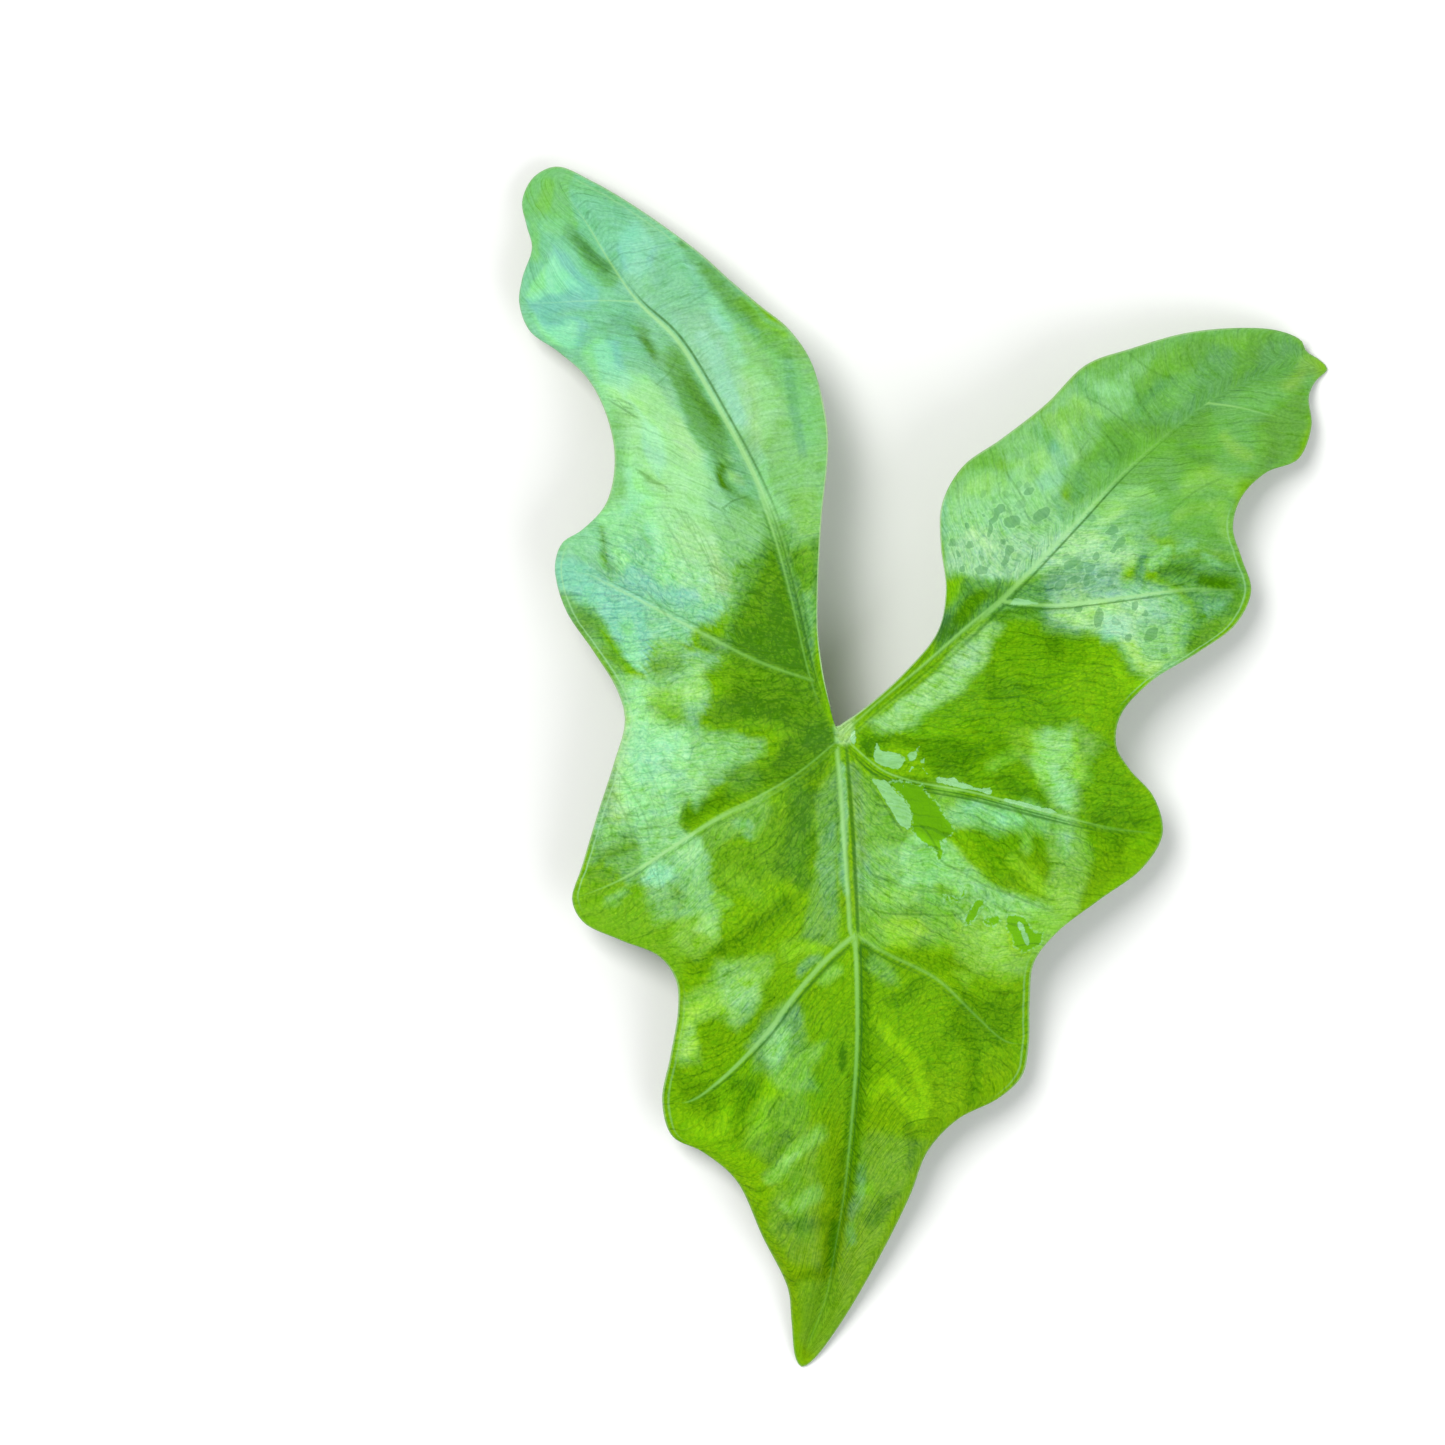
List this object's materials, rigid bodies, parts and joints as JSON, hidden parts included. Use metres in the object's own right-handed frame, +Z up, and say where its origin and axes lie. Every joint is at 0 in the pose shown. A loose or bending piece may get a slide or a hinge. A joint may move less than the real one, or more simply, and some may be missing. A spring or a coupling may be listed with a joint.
{
  "type": "alocasia leaf",
  "caption": "Picked arrow-shaped alocasia leaf with two rear lobes, waved edges and raised veins, lying face up on its short cut stalk.",
  "frame": {"origin": "on the table, under the middle of the leaf's box", "axes": "+Y from the leaf's tip towards its rear lobes, +X to the right of the upper face, +Z up, out of the upper face"},
  "size_m": [0.2028, 0.3012, 0.0363],
  "materials": {
    "blade": "waxy gloss",
    "petiole": "satin"
  },
  "bodies": {
    "root": {"blade": "blade", "petiole": "petiole"}
  },
  "joints": []
}
